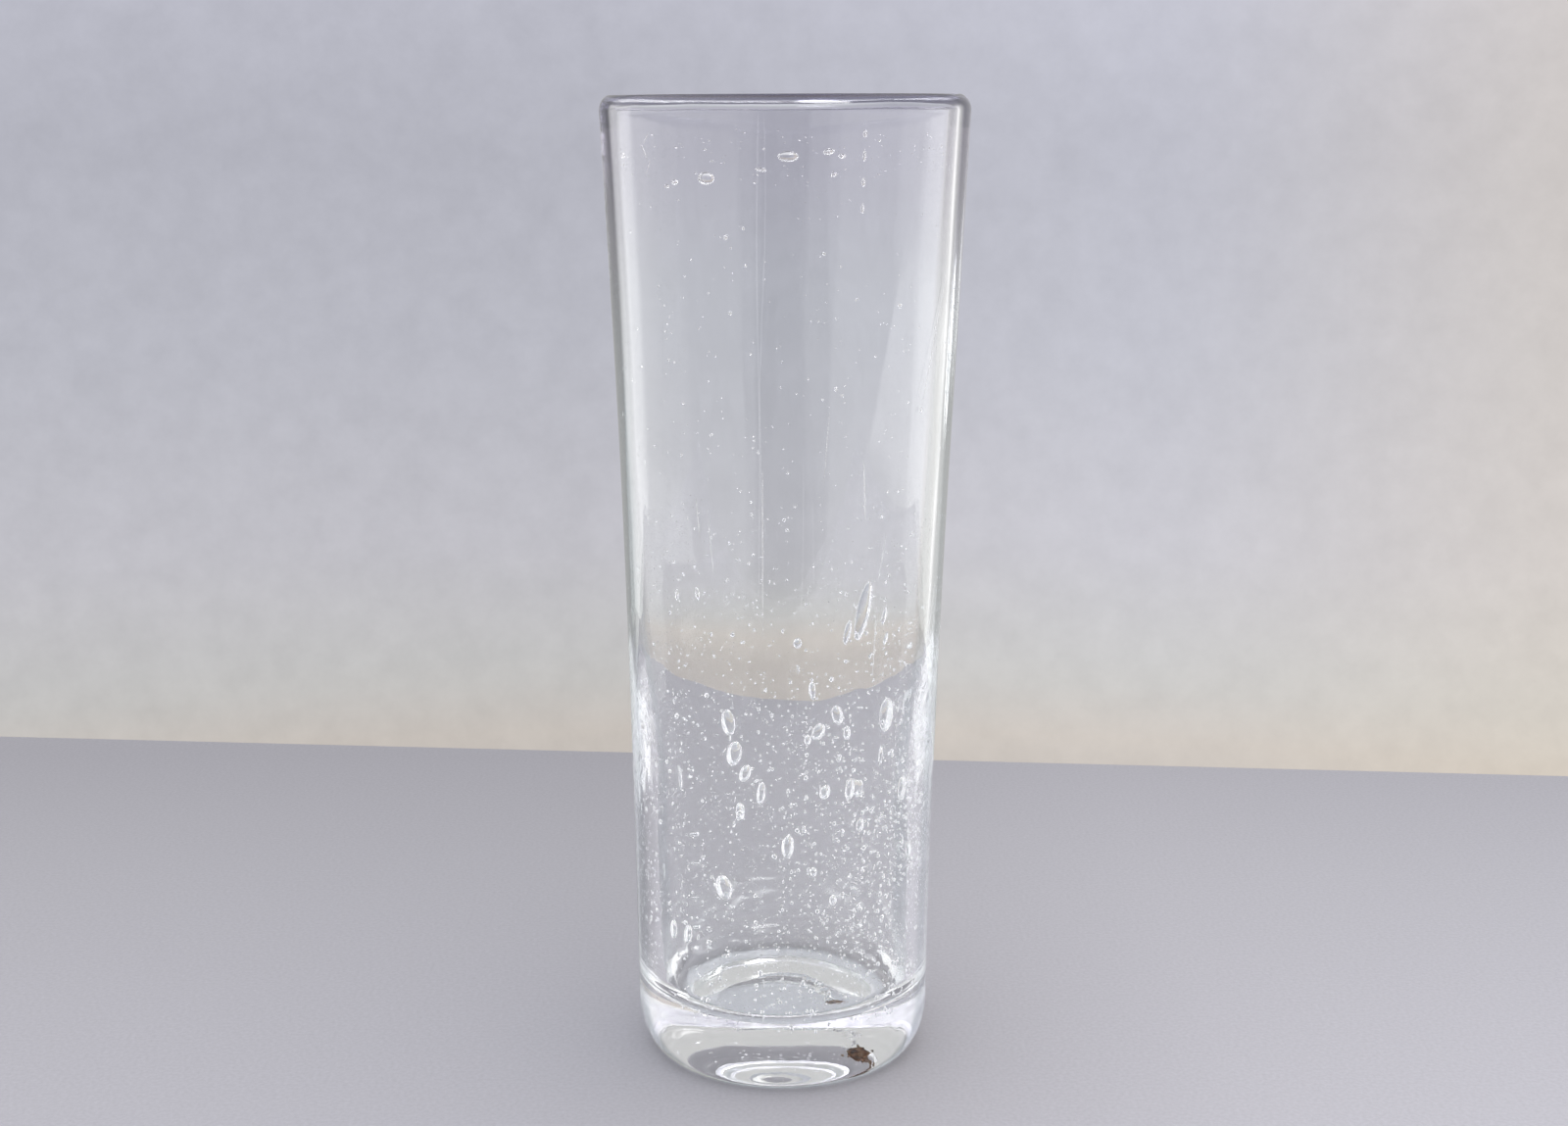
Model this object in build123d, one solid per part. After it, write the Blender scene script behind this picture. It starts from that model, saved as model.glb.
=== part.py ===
from build123d import *
import math
import os

# A hand-blown cylinder vase of seeded glass. Millimetres, +Z up, origin at the
# centre of the resting ring, -Y towards the front.

# Driving dimensions
height = 250.0            # table to the top of the lip
foot_radius = 38.9        # outside of the wall just above the heel
flare = 7.5               # how much wider the wall is at the full height
flare_power = 1.6         # nearly straight low down, opening towards the mouth
wall = 2.5                # both gathers together, in the upper half and the lip
heavy_wall = 6.2          # the same low down, where the glass stayed thick
heavy_below = 66.0        # height up to which the wall is heavy
light_above = 118.0       # height from which it is light
heel_width = 6.0          # how far the heel tucks in under the wall
heel_height = 14.0        # where the heel meets the straight wall
floor_height = 16.5       # top of the heavy bottom, inside
floor_corner = 7.0        # rounding between the inside floor and the wall

# The lip: the wall's last few millimetres, turned in and fire polished
bead_start = 242.0
lip_outer_radius = 4.0
lip_turn = 65.0           # degrees that the lip leans in

# The underside: a hollow pushed up inside the resting ring
kick_radius = 25.3
kick_height = 4.4
kick_profile = [(0.0, kick_height), (9.0, 4.1), (16.6, 3.1), (kick_radius, 0.0)]
kick_end_slope = (0.88, -0.47)

# The punty's broken mark in the hollow, and the iron scale it left
scar_radius = 12.6
scar_height = 3.3         # middle of the mark's section above the table
scar_section = 1.5
scar_start = -25.0
scar_sweep = 150.0
fleck_place = (14.3, -6.3, 3.3)
fleck_size = (2.7, 2.3, 0.8)

gather_joint = wall / 2   # depth of the seam between the two gathers, from outside
rest_radius = foot_radius - heel_width
lip_inner_radius = lip_outer_radius - wall
lip_end_radius = wall / 2
lip_middle_radius = lip_outer_radius - lip_end_radius
lip_rise = lip_middle_radius * math.sin(math.radians(lip_turn)) + lip_end_radius
lip_centre_height = height - lip_rise
curve_step = 12.0         # height between the points of a wall's curve


def outer_radius(z):
    """Outside radius of the wall at height z, from the heel up."""
    rise = (z - heel_height) / (height - heel_height)
    return foot_radius + flare * rise ** flare_power


def joint_radius(z):
    """Radius of the seam between the two gathers."""
    return outer_radius(z) - gather_joint


def inner_radius(z):
    """Inside radius of the wall, which thickens smoothly on its way down."""
    part = (light_above - z) / (light_above - heavy_below)
    part = min(max(part, 0), 1)
    extra = (heavy_wall - wall) * part * part * (3 - 2 * part)
    return outer_radius(z) - wall - extra


def wall_curve(radius_at, low, high):
    """A wall surface's profile between two heights."""
    count = math.ceil((high - low) / curve_step)
    levels = [low + (high - low) * i / count for i in range(count + 1)]
    return Spline([(radius_at(z), z) for z in levels])


def spin(lines, start=0.0, sweep=360.0):
    """Turn closed profile lines, drawn as radius and height, about the Z axis."""
    upright = [Plane.XZ * line for line in lines]
    face = make_face(upright)
    return Rot(0, 0, start) * revolve(face, Axis.Z, sweep)


def inner_gather():
    """First gather: a thin cup that lines the wall and the floor."""
    corner_height = floor_height + floor_corner
    outside = wall_curve(joint_radius, heel_height, bead_start)
    inside = wall_curve(inner_radius, corner_height, bead_start)
    corner_centre = (inner_radius(corner_height) - floor_corner, corner_height)
    corner = CenterArc(corner_centre, floor_corner, 270, 90)
    lines = [
        Line((0, heel_height), outside @ 0),
        outside,
        Line(outside @ 1, inside @ 1),
        inside,
        corner,
        Line(corner @ 0, (0, floor_height)),
        Line((0, floor_height), (0, heel_height)),
    ]
    return spin(lines)


def outer_gather():
    """Second gather: the outside half of the wall."""
    outside = wall_curve(outer_radius, heel_height, bead_start)
    inside = wall_curve(joint_radius, heel_height, bead_start)
    lines = [
        Line(inside @ 0, outside @ 0),
        outside,
        Line(outside @ 1, inside @ 1),
        inside,
    ]
    return spin(lines)


def base_gather():
    """Heavy clear bottom, with a rounded heel and a hollow underneath."""
    kick = Spline(kick_profile, tangents=((1, 0), kick_end_slope))
    heel = EllipticalCenterArc(
        (rest_radius, heel_height), heel_width, heel_height, 270, arc_size=90
    )
    lines = [
        kick,
        Line((kick_radius, 0), (rest_radius, 0)),
        heel,
        Line((foot_radius, heel_height), (0, heel_height)),
        Line((0, heel_height), (0, kick_height)),
    ]
    return spin(lines)


def rim_bead():
    """The lip: full wall thickness, turned in and rounded by the flame."""
    outside = wall_curve(outer_radius, bead_start, lip_centre_height)
    inside = wall_curve(inner_radius, bead_start, lip_centre_height)
    centre = Vector(outer_radius(lip_centre_height) - lip_outer_radius, lip_centre_height)
    turn = math.radians(lip_turn)
    end_centre = centre + Vector(math.cos(turn), math.sin(turn)) * lip_middle_radius
    lines = [
        Line(inside @ 0, outside @ 0),
        outside,
        CenterArc(centre, lip_outer_radius, 0, lip_turn),
        CenterArc(end_centre, lip_end_radius, lip_turn, 180),
        CenterArc(centre, lip_inner_radius, 0, lip_turn),
        inside,
    ]
    return spin(lines)


def iron_fleck():
    """Scale from the punty iron, half sunk in the hollow."""
    return Pos(*fleck_place) * scale(Sphere(1), by=fleck_size)


def pontil_scar(bottom, fleck):
    """Crescent of glass left where the punty broke away."""
    section = CenterArc((scar_radius, scar_height), scar_section, 0, 360)
    return spin([section], scar_start, scar_sweep) - bottom - fleck


def build():
    fleck = iron_fleck()
    bottom = base_gather() - fleck
    return {
        "inner_gather": inner_gather(),
        "outer_gather": outer_gather(),
        "base_gather": bottom,
        "rim_bead": rim_bead(),
        "pontil_scar": pontil_scar(bottom, fleck),
        "iron_fleck": fleck,
    }


os.makedirs("parts", exist_ok=True)
for name, piece in build().items():
    print(f"{name}: {piece.volume:.1f} mm3, valid {piece.is_valid}")
    export_step(piece, f"parts/{name}.step")
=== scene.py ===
# %% [markdown]
# # A hand-blown vase of seeded glass
# The vase is one vessel made of several gathers of hot glass. Nothing on it is straight or even:
# the wall wanders a little, the lip is turned in by hand, air seeds are trapped in the wall, and
# the heavy foot keeps the mark of the punty underneath. Clear glass shows only what it bends and
# mirrors, so the shapes below are true walls with an inside and an outside, not painted skins.

# %% Load the measured vase
import math
import random

import bmesh
import bpy
from mathutils import Matrix, Vector, noise


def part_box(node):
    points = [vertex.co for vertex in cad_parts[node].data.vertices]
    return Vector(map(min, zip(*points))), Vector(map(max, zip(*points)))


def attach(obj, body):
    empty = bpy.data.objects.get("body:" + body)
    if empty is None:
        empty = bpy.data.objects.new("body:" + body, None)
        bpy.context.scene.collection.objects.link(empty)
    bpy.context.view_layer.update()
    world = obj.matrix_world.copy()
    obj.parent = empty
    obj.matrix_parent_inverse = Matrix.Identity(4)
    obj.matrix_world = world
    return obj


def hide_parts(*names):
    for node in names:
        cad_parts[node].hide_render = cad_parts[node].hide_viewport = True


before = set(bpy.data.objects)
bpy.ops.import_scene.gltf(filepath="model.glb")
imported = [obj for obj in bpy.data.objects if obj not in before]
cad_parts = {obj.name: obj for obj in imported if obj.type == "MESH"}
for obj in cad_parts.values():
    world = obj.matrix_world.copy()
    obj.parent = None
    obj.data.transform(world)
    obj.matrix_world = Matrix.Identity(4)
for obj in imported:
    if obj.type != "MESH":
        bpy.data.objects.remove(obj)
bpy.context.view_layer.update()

MM = 0.001

# %% [markdown]
# ## Camera
# It stands level with the lip and looks down a little, so the lip shows as one thin line while
# the foot opens into an ellipse.

# %% Camera
EYE = Vector((0.0, -530.0, 247.0)) * MM
LOOK_DOWN = math.radians(12.33)
TILT = math.radians(0.2)

camera = bpy.data.objects.new("camera", bpy.data.cameras.new("camera"))
camera.data.lens = 47.9
camera.data.sensor_width = 36.0
camera.data.clip_start = 0.01
aim = Matrix.Rotation(math.pi / 2 - LOOK_DOWN, 4, "X") @ Matrix.Rotation(TILT, 4, "Z")
camera.matrix_world = Matrix.Translation(EYE) @ aim
bpy.context.collection.objects.link(camera)
bpy.context.scene.camera = camera

# %% [markdown]
# ## Sizes
# The radii and heights come from the frame's boxes. The wall's outside is one formula and its
# thickness another, so every piece that touches the wall agrees to the last digit. The glass is
# thin and even in the upper half and gets heavier on its way down.

# %% Sizes from the frame
foot_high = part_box("base_gather")[1]
lip_low, lip_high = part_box("rim_bead")
casing_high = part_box("outer_gather")[1]
lining_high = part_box("inner_gather")[1]

FOOT_RADIUS = foot_high[0]
SEAM_LOW = foot_high[2]
SEAM_HIGH = lip_low[2]
HEIGHT = lip_high[2]
FLARE_POWER = 1.6
WALL = 2.0 * (casing_high[0] - lining_high[0])
HEAVY_WALL = WALL + 3.7 * MM
HEAVY_BELOW = 66.0 * MM
LIGHT_ABOVE = 118.0 * MM
HEEL_WIDTH = 6.0 * MM
REST_RADIUS = FOOT_RADIUS - HEEL_WIDTH
FLOOR = SEAM_LOW + 2.5 * MM
FLOOR_CORNER = 7.0 * MM
KICK_RADIUS = 25.3 * MM
KICK_HEIGHT = 4.4 * MM

seam_rise = (SEAM_HIGH - SEAM_LOW) / (HEIGHT - SEAM_LOW)
FLARE = (casing_high[0] - FOOT_RADIUS) / seam_rise ** FLARE_POWER


def ease(value, low, high):
    """0 below low, 1 above high, smooth between them."""
    t = min(max((value - low) / (high - low), 0.0), 1.0)
    return t * t * (3.0 - 2.0 * t)


def outer_radius(z):
    """Outside radius of the even wall at height z."""
    rise = max(z - SEAM_LOW, 0.0) / (HEIGHT - SEAM_LOW)
    return FOOT_RADIUS + FLARE * rise ** FLARE_POWER


def thickness(z):
    """Thickness of the even wall at height z."""
    return HEAVY_WALL + (WALL - HEAVY_WALL) * ease(z, HEAVY_BELOW, LIGHT_ABOVE)


print(f"wall {WALL / MM:.2f} to {HEAVY_WALL / MM:.2f} mm, flare {FLARE / MM:.2f} mm")

# %% [markdown]
# ## The hand in the glass
# A blown wall is never a perfect circle. Broad, slow waves make the outline wander, dents of a
# finger's width bend what shows in the glass, and fine upright ripples, drawn out as the glass is
# stretched, make the light streak. All are a noise that moves every point in or out. The inside
# and the outside wander on their own, which changes the thickness, and thickness is what a viewer
# sees in clear glass. One function moves the points of every piece, so pieces that meet still
# meet.

# %% The hand's wobble
WOBBLES = [
    # depth, how often round the vase, how often up it, where in the noise
    (0.40 * MM, 1.1, 9.0, 0.0),
    (0.13 * MM, 3.6, 17.0, 3.0),
    (0.052 * MM, 11.0, 11.0, 7.0),
]
OUTSIDE_SEED, INSIDE_SEED = 3.0, 41.0
INSIDE_SHIFT = Vector((-0.3, 0.1, 0.0)) * MM
LIP_DROP = 0.0075
FLOOR_WAVE, FLOOR_WAVES_A_METRE = 0.25 * MM, 60.0


def wander(angle, z, seed):
    """Distance that a wall surface strays from the even radius."""
    ring = Vector((math.cos(angle), math.sin(angle), 0.0))
    stray = 0.0
    for depth, rounds, climbs, where in WOBBLES:
        stray += depth * noise.noise(ring * rounds + Vector((seed, where, z * climbs)))
    return stray


def hand(point):
    """Where the blower's hand leaves a point of the even vase."""
    x, y, z = point
    radius = math.hypot(x, y)
    angle = math.atan2(y, x)
    depth = min(max((outer_radius(z) - radius) / thickness(z), 0.0), 1.0)
    outside = wander(angle, z, OUTSIDE_SEED)
    inside = wander(angle, z, INSIDE_SEED)
    stray = (outside * (1.0 - depth) + inside * depth) * ease(radius, 0.0, FOOT_RADIUS)
    shift = INSIDE_SHIFT * depth * ease(z, SEAM_LOW, 3.0 * SEAM_LOW)
    grown = 1.0 + stray / radius if radius > 0.0 else 1.0
    tilt = LIP_DROP * x * ease(z, 0.5 * HEIGHT, HEIGHT)
    in_floor = ease(z, SEAM_LOW, FLOOR) * (1.0 - ease(radius, 0.5 * FOOT_RADIUS, 0.85 * FOOT_RADIUS))
    wave = FLOOR_WAVE * in_floor * noise.noise(Vector((x, y, 0.0)) * FLOOR_WAVES_A_METRE)
    return Vector((x * grown + shift.x, y * grown + shift.y, z + tilt + wave))


# %% [markdown]
# ## Glass
# Glass takes no paint: its looks are its index of refraction, a very smooth surface and a breath
# of colour. Two effects are shared by every gather, so each is a node group. The first reads the
# height and tints the glass between two colours: soda glass is faintly green where it is thick,
# and a wrap of amethyst glass at the lip fades out downwards. The second gives the surface the
# fine upright drag lines, called cords, that stretching leaves.

# %% Node helpers
GLASS_INDEX = 1.5


def new_material(name):
    material = bpy.data.materials.new(name)
    material.use_nodes = True
    return material, material.node_tree.nodes, material.node_tree.links


def new_group(name, inputs, outputs):
    """An empty node group with named sockets, given as pairs of name and socket type."""
    tree = bpy.data.node_groups.new(name, "ShaderNodeTree")
    for socket, kind in inputs:
        tree.interface.new_socket(socket, in_out="INPUT", socket_type=kind)
    for socket, kind in outputs:
        tree.interface.new_socket(socket, in_out="OUTPUT", socket_type=kind)
    return tree, tree.nodes.new("NodeGroupInput"), tree.nodes.new("NodeGroupOutput")


def place_group(nodes, tree, **values):
    """A copy of a group in a material, with its own values."""
    node = nodes.new("ShaderNodeGroup")
    node.node_tree = tree
    for socket, value in values.items():
        node.inputs[socket.replace("_", " ").capitalize()].default_value = value
    return node


def map_range(nodes, links, value, low, high, to_low=0.0, to_high=1.0, smooth=False):
    """A value carried over from low and high to to_low and to_high."""
    node = nodes.new("ShaderNodeMapRange")
    node.interpolation_type = "SMOOTHSTEP" if smooth else "LINEAR"
    node.inputs["From Min"].default_value = low
    node.inputs["From Max"].default_value = high
    node.inputs["To Min"].default_value = to_low
    node.inputs["To Max"].default_value = to_high
    links.new(value, node.inputs["Value"])
    return node.outputs["Result"]


# %% Tint by height
FLOAT, COLOUR, VECTOR = "NodeSocketFloat", "NodeSocketColor", "NodeSocketVector"

height_tint, tint_in, tint_out = new_group(
    "height tint",
    [("Low height", FLOAT), ("High height", FLOAT), ("Low colour", COLOUR), ("High colour", COLOUR)],
    [("Colour", COLOUR)])
place = height_tint.nodes.new("ShaderNodeTexCoord")
split = height_tint.nodes.new("ShaderNodeSeparateXYZ")
span = height_tint.nodes.new("ShaderNodeMapRange")
span.interpolation_type = "SMOOTHSTEP"
mix = height_tint.nodes.new("ShaderNodeMix")
mix.data_type = "RGBA"
tint_links = height_tint.links
tint_links.new(place.outputs["Object"], split.inputs[0])
tint_links.new(split.outputs["Z"], span.inputs["Value"])
tint_links.new(tint_in.outputs["Low height"], span.inputs["From Min"])
tint_links.new(tint_in.outputs["High height"], span.inputs["From Max"])
tint_links.new(span.outputs["Result"], mix.inputs["Factor"])
tint_links.new(tint_in.outputs["Low colour"], mix.inputs["A"])
tint_links.new(tint_in.outputs["High colour"], mix.inputs["B"])
tint_links.new(mix.outputs["Result"], tint_out.inputs["Colour"])

# %% Cords
CORD_SCALE = Vector((700.0, 700.0, 28.0))

cords, cords_in, cords_out = new_group("cords", [("Depth", FLOAT)], [("Normal", VECTOR)])
place = cords.nodes.new("ShaderNodeTexCoord")
stretch = cords.nodes.new("ShaderNodeMapping")
stretch.inputs["Scale"].default_value = CORD_SCALE
lines = cords.nodes.new("ShaderNodeTexNoise")
lines.inputs["Scale"].default_value = 1.0
lines.inputs["Detail"].default_value = 1.0
relief = cords.nodes.new("ShaderNodeBump")
relief.inputs["Strength"].default_value = 1.0
cords.links.new(place.outputs["Object"], stretch.inputs["Vector"])
cords.links.new(stretch.outputs["Vector"], lines.inputs["Vector"])
cords.links.new(lines.outputs["Fac"], relief.inputs["Height"])
cords.links.new(cords_in.outputs["Depth"], relief.inputs["Distance"])
cords.links.new(relief.outputs["Normal"], cords_out.inputs["Normal"])

# %% [markdown]
# Coloured glass looks darkest where it is seen on edge, because the light runs along inside the
# wall there. Layer Weight's Facing says how much the surface turns away, so each glass mixes
# towards its edge colour with it. The tint acts where light enters, so the edge colours look
# much stronger here than on the glass. The broken glass under the foot is frosted in patches.
# The last material is for the seams where two gathers are fused. Light doesn't notice a seam, so
# it is fully transparent.

# %% Glass materials
EDGE_STARTS, EDGE_FULL = 0.60, 0.71
CORD_DEPTH = 0.0035 * MM


def glass_material(name, low, high, low_colour, high_colour, edge_colour, edge_low, low_edge):
    """Clear glass, tinted by height. On edge it goes from low_edge at edge_low to edge_colour."""
    material, nodes, links = new_material(name)
    shader = nodes["Principled BSDF"]
    shader.inputs["Roughness"].default_value = 0.0
    shader.inputs["IOR"].default_value = GLASS_INDEX
    shader.inputs["Transmission Weight"].default_value = 1.0
    face_on = place_group(nodes, height_tint, low_height=low, high_height=high,
                          low_colour=(*low_colour, 1.0), high_colour=(*high_colour, 1.0))
    on_edge = place_group(nodes, height_tint, low_height=edge_low, high_height=high,
                          low_colour=(*low_edge, 1.0), high_colour=(*edge_colour, 1.0))
    facing = nodes.new("ShaderNodeLayerWeight")
    facing.inputs["Blend"].default_value = 0.5
    edge = map_range(nodes, links, facing.outputs["Facing"], EDGE_STARTS, EDGE_FULL, smooth=True)
    mix = nodes.new("ShaderNodeMix")
    mix.data_type = "RGBA"
    surface = place_group(nodes, cords, depth=CORD_DEPTH)
    links.new(edge, mix.inputs["Factor"])
    links.new(face_on.outputs["Colour"], mix.inputs["A"])
    links.new(on_edge.outputs["Colour"], mix.inputs["B"])
    links.new(mix.outputs["Result"], shader.inputs["Base Color"])
    links.new(surface.outputs["Normal"], shader.inputs["Normal"])
    return material


# %% The glasses
CLEAR = (0.985, 0.992, 0.992)
GREEN_EDGE = (0.58, 0.63, 0.64)
HEEL_EDGE = (0.34, 0.38, 0.40)
VIOLET = (0.955, 0.95, 0.968)
VIOLET_EDGE = (0.13, 0.115, 0.18)
LIP_VIOLET, LIP_VIOLET_EDGE = (0.15, 0.145, 0.25), (0.04, 0.037, 0.075)
FOOT_CLEAR = (0.98, 0.99, 0.99)
BROKEN_GLASS = (0.90, 0.92, 0.90)
VIOLET_FADES, EDGE_FADES = 45 * MM, 85 * MM

wall_glass = glass_material("seeded wall glass", SEAM_HIGH - VIOLET_FADES, SEAM_HIGH,
                            CLEAR, VIOLET, VIOLET_EDGE, SEAM_HIGH - EDGE_FADES, GREEN_EDGE)
lip_glass = glass_material("lip glass", SEAM_HIGH + 4 * MM, HEIGHT, VIOLET,
                           LIP_VIOLET, LIP_VIOLET_EDGE, SEAM_HIGH - 40 * MM, VIOLET_EDGE)
foot_glass = glass_material("foot glass", 0.0, SEAM_LOW,
                            FOOT_CLEAR, CLEAR, HEEL_EDGE, -SEAM_LOW, HEEL_EDGE)
scar_glass = glass_material("broken glass", 0.0, KICK_HEIGHT,
                            BROKEN_GLASS, CLEAR, CLEAR, 0.0, CLEAR)

# %% Frost on the broken glass
FROST_STARTS, FROST_FULL = 0.45, 0.75
FROST_ROUGHNESS = 0.35

scar_nodes, scar_links = scar_glass.node_tree.nodes, scar_glass.node_tree.links
frost = scar_nodes.new("ShaderNodeTexNoise")
frost.inputs["Scale"].default_value = 1400.0
frosted = map_range(scar_nodes, scar_links, frost.outputs["Fac"],
                    FROST_STARTS, FROST_FULL, to_high=FROST_ROUGHNESS)
scar_links.new(frosted, scar_nodes["Principled BSDF"].inputs["Roughness"])

# %% Fused seam
seam, seam_nodes, seam_links = new_material("fused seam")
seam_nodes.clear()
seam_shader = seam_nodes.new("ShaderNodeBsdfTransparent")
seam_output = seam_nodes.new("ShaderNodeOutputMaterial")
seam_links.new(seam_shader.outputs["BSDF"], seam_output.inputs["Surface"])

# %% [markdown]
# Iron scale is burnt black-brown metal under rust and pale ash, in patches, dull and gritty.

# %% Iron scale finish
BURNT_IRON = (0.055, 0.030, 0.016, 1.0)
RUST = (0.26, 0.115, 0.045, 1.0)
ASH = (0.46, 0.37, 0.28, 1.0)

scale_finish, scale_nodes, scale_links = new_material("iron scale")
scale_shader = scale_nodes["Principled BSDF"]
scale_shader.inputs["Roughness"].default_value = 0.8
scale_shader.inputs["Specular IOR Level"].default_value = 0.3
place = scale_nodes.new("ShaderNodeTexCoord")
patches = scale_nodes.new("ShaderNodeTexNoise")
patches.inputs["Scale"].default_value = 650.0
patches.inputs["Detail"].default_value = 6.0
rust = scale_nodes.new("ShaderNodeValToRGB")
rust.color_ramp.elements[0].position = 0.36
rust.color_ramp.elements[0].color = BURNT_IRON
rust.color_ramp.elements[1].position = 0.68
rust.color_ramp.elements[1].color = ASH
rust.color_ramp.elements.new(0.50).color = RUST
grit = scale_nodes.new("ShaderNodeTexNoise")
grit.inputs["Scale"].default_value = 4200.0
relief = scale_nodes.new("ShaderNodeBump")
relief.inputs["Distance"].default_value = 0.12 * MM
scale_links.new(place.outputs["Object"], patches.inputs["Vector"])
scale_links.new(place.outputs["Object"], grit.inputs["Vector"])
scale_links.new(patches.outputs["Fac"], rust.inputs["Fac"])
scale_links.new(rust.outputs["Color"], scale_shader.inputs["Base Color"])
scale_links.new(grit.outputs["Fac"], relief.inputs["Height"])
scale_links.new(relief.outputs["Normal"], scale_shader.inputs["Normal"])

# %% [markdown]
# ## Turning a profile
# Each gather is round, so it is drawn as a profile of radius and height and spun about the axis.
# The first and last points lie on the axis or meet each other, which closes the shape. The seams
# get the transparent material and a sharp edge, so the glass beside them stays smoothly shaded.

# %% Turning helpers
AROUND = 150
SEAM_RINGS = 8
GLASS, SEAM = 0, 1


def arc(centre, width, height, start, end, count):
    """Points on an ellipse's arc, from start to end in degrees, both included."""
    turns = [math.radians(start + (end - start) * i / count) for i in range(count + 1)]
    return [(centre[0] + width * math.cos(t), centre[1] + height * math.sin(t)) for t in turns]


def wall_line(inner, low, high, count):
    """Profile points on the wall's inside or outside, from one height to another."""
    levels = [low + (high - low) * i / count for i in range(count + 1)]
    return [(outer_radius(z) - (thickness(z) if inner else 0.0), z) for z in levels]


def seam_line():
    """Profile points on the level seam between the cup and the foot, without its two ends."""
    return [(FOOT_RADIUS * i / SEAM_RINGS, SEAM_LOW) for i in range(1, SEAM_RINGS)]


def turned(profile, closed):
    """A closed shape spun from profile points."""
    shape = bmesh.new()
    points = [shape.verts.new((radius, 0.0, z)) for radius, z in profile]
    pairs = list(zip(points, points[1:])) + ([(points[-1], points[0])] if closed else [])
    lines = [shape.edges.new(pair) for pair in pairs]
    bmesh.ops.spin(shape, geom=points + lines, cent=(0, 0, 0), axis=(0, 0, 1),
                   angle=math.tau, steps=AROUND, use_merge=True)
    bmesh.ops.remove_doubles(shape, verts=shape.verts, dist=0.001 * MM)
    bmesh.ops.recalc_face_normals(shape, faces=shape.faces)
    return shape


def mark_seams(shape, *heights):
    """Level faces at these heights become fused seams, with sharp borders."""
    for face in shape.faces:
        level = [h for h in heights if all(abs(v.co.z - h) < 0.01 * MM for v in face.verts)]
        face.material_index = SEAM if level else GLASS


def sharpen_borders(shape):
    for edge in shape.edges:
        kinds = {face.material_index for face in edge.link_faces}
        edge.smooth = len(kinds) == 1


def shape_by_hand(shape):
    for vert in shape.verts:
        vert.co = hand(vert.co)


def finish_piece(name, shape, materials, slot, *nodes):
    """Makes the object, gives it its materials, attaches it to the root and hides the CAD nodes it
    replaces. The slot is not used.
    """
    for face in shape.faces:
        face.smooth = True
    mesh = bpy.data.meshes.new(name)
    shape.to_mesh(mesh)
    shape.free()
    piece = bpy.data.objects.new(name, mesh)
    bpy.context.collection.objects.link(piece)
    for material in materials:
        mesh.materials.append(material)
    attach(piece, "root")
    if nodes:
        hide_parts(*nodes)
    triangles = sum(len(p.vertices) - 2 for p in mesh.polygons)
    print(f"{name}: {triangles} triangles")


# %% [markdown]
# ## The wall
# The first two gathers make the cup: the wall and a skin of glass over the floor, with a rounded
# corner between them. They are one mesh here, because the seam between them lies right under the
# seeds and can't be seen. The wall has many close rings, which its ripples need.

# %% The wall's shape
OUTSIDE_RINGS, INSIDE_RINGS, FLOOR_RINGS = 50, 48, 11

corner_height = FLOOR + FLOOR_CORNER
corner_radius = outer_radius(corner_height) - thickness(corner_height) - FLOOR_CORNER
wall_profile = [(0.0, SEAM_LOW)]
wall_profile += seam_line()
wall_profile += wall_line(False, SEAM_LOW, SEAM_HIGH, OUTSIDE_RINGS)
wall_profile += wall_line(True, SEAM_HIGH, corner_height, INSIDE_RINGS)
wall_profile += arc((corner_radius, corner_height), FLOOR_CORNER, FLOOR_CORNER, 0, -90, 12)[1:]
wall_profile += [(corner_radius * i / FLOOR_RINGS, FLOOR) for i in range(FLOOR_RINGS - 1, -1, -1)]
wall_shape = turned(wall_profile, closed=False)
mark_seams(wall_shape, SEAM_LOW, SEAM_HIGH)
sharpen_borders(wall_shape)
shape_by_hand(wall_shape)

# %% [markdown]
# ## Air seeds
# The seeds are air that was trapped between two gathers. They are real hollows: small closed
# shells whose faces point into the air, inside the wall's own mesh, so light leaves the glass
# and enters it again there, which gives each one its dark edge and bright spot. A seed is only a
# few dozen faces, because there are thousands. The stretching glass draws them out upright in the
# body, and the turning of the lip draws them out sideways there.

# %% Seed shapes
random.seed(11)


def hollow(name, make, **size):
    """A small closed shell of radius 1 whose faces point inwards."""
    shell = bmesh.new()
    make(shell, **size)
    bmesh.ops.reverse_faces(shell, faces=shell.faces)
    for face in shell.faces:
        face.smooth = True
    mesh = bpy.data.meshes.new(name)
    shell.to_mesh(mesh)
    shell.free()
    return mesh


speck = hollow("speck", bmesh.ops.create_uvsphere, u_segments=4, v_segments=2, radius=1.0)
tiny_seed = hollow("tiny seed", bmesh.ops.create_icosphere, subdivisions=1, radius=1.0)
small_seed = hollow("small seed", bmesh.ops.create_uvsphere, u_segments=6, v_segments=5, radius=1.0)
blister = hollow("blister", bmesh.ops.create_icosphere, subdivisions=3, radius=1.0)
print("faces:", [len(mesh.polygons) for mesh in (speck, tiny_seed, small_seed, blister)])


def in_wall(bearing, z, depth):
    """Frame inside the wall. Bearing is in degrees from the front towards +X."""
    turn = math.radians(bearing)
    radius = outer_radius(z) - depth * thickness(z)
    spot = hand(Vector((radius * math.sin(turn), -radius * math.cos(turn), z)))
    return Matrix.Translation(spot) @ Matrix.Rotation(turn, 4, "Z")


def add_hollow(voids, shell, place, across, through, upright, lean=0.0):
    """Puts one scaled copy of a shell into the mesh of voids."""
    size = Matrix.Diagonal((across, through, upright, 1.0))
    one = shell.copy()
    one.transform(place @ Matrix.Rotation(lean, 4, "Y") @ size)
    voids.from_mesh(one)
    bpy.data.meshes.remove(one)


voids = bmesh.new()

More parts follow.
